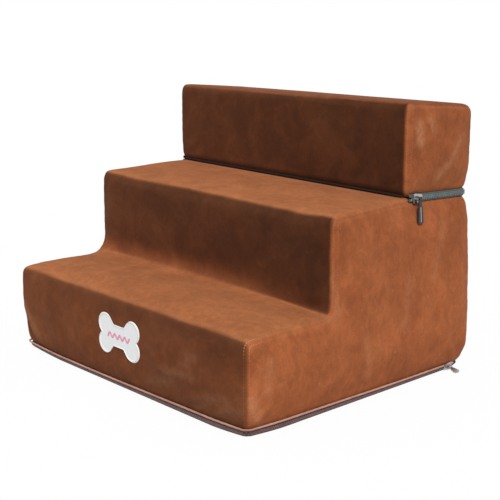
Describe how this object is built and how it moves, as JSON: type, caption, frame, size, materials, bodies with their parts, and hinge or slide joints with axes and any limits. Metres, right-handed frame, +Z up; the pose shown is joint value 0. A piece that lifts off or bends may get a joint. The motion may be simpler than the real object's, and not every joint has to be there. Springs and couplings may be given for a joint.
{
  "type": "foam pet stairs",
  "caption": "Stepped foam stairs for a pet in a zipped suede cover, with a top step that tips forward on a crease and an underside that opens on a zip.",
  "frame": {"origin": "middle of the stairs' plan at the floor, under the underside panel", "axes": "+X across the stairs towards the right side as seen from the front, +Y towards the back so that the steps face -Y, +Z up"},
  "size_m": [0.4179, 0.3545, 0.3069],
  "materials": {
    "suede": "brushed suede with a soft nap, double-stitched seams",
    "piping": "rolled suede seam",
    "hem": "lighter folded hem",
    "lining": "plain woven lining",
    "foam": "open-cell foam, matt",
    "tape": "woven zip tape",
    "teeth": "satin moulded teeth",
    "metal": "bright plated",
    "pull_black": "matt black coating",
    "patch": "smooth felt with a stitched border"
  },
  "bodies": {
    "stairs": {"bottom_foam": "foam", "middle_foam": "foam", "step_runner": "suede", "left_side_panel": "suede", "right_side_panel": "suede", "back_panel": "suede", "deck_lining": "lining", "hem_band": "hem", "fold_seam": "piping", "flap_seam": "piping", "bone_label": "patch", "fold_zip_lower_tape": "tape", "fold_zip_lower_teeth": "teeth", "base_zip_upper_tape": "tape", "base_zip_upper_teeth": "teeth", "fold_zip_stops": "metal", "base_zip_stops": "metal"},
    "top_step": {"top_foam": "foam", "top_runner": "suede", "top_left_panel": "suede", "top_right_panel": "suede", "top_lining": "lining", "fold_zip_upper_tape": "tape", "fold_zip_upper_teeth": "teeth"},
    "underside": {"base_panel": "lining", "base_zip_lower_tape": "tape", "base_zip_lower_teeth": "teeth"},
    "upper_slider": {"fold_slider": "metal"},
    "upper_pull": {"fold_pull": "pull_black", "fold_pull_line": "metal"},
    "lower_slider": {"base_slider": "metal"},
    "lower_pull": {"base_pull": "metal"}
  },
  "joints": [
    {"name": "top_step_tip", "type": "hinge", "parent": "stairs", "child": "top_step", "pos_m": [0, 0.06605, 0.20646], "axis": [1, 0, 0], "range_deg": [0, 84]},
    {"name": "underside_open", "type": "hinge", "parent": "stairs", "child": "underside", "pos_m": [0, 0.1713, 0.003], "axis": [1, 0, 0], "range_deg": [0, 110]},
    {"name": "upper_slider_run", "type": "slide", "parent": "stairs", "child": "upper_slider", "axis": [0, 0.999, -0.0436], "range_m": [0, 0.073]},
    {"name": "upper_pull_swing", "type": "hinge", "parent": "upper_slider", "child": "upper_pull", "pos_m": [0.19487, 0.08054, 0.20412], "axis": [0, -0.999, 0.0436], "range_deg": [0, 150]},
    {"name": "lower_slider_run", "type": "slide", "parent": "stairs", "child": "lower_slider", "axis": [0, -1, 0], "range_m": [0, 0.294]},
    {"name": "lower_pull_swing", "type": "hinge", "parent": "lower_slider", "child": "lower_pull", "pos_m": [0.20362, 0.1346, 0.0046], "axis": [0, -1, 0], "range_deg": [0, 100]}
  ]
}
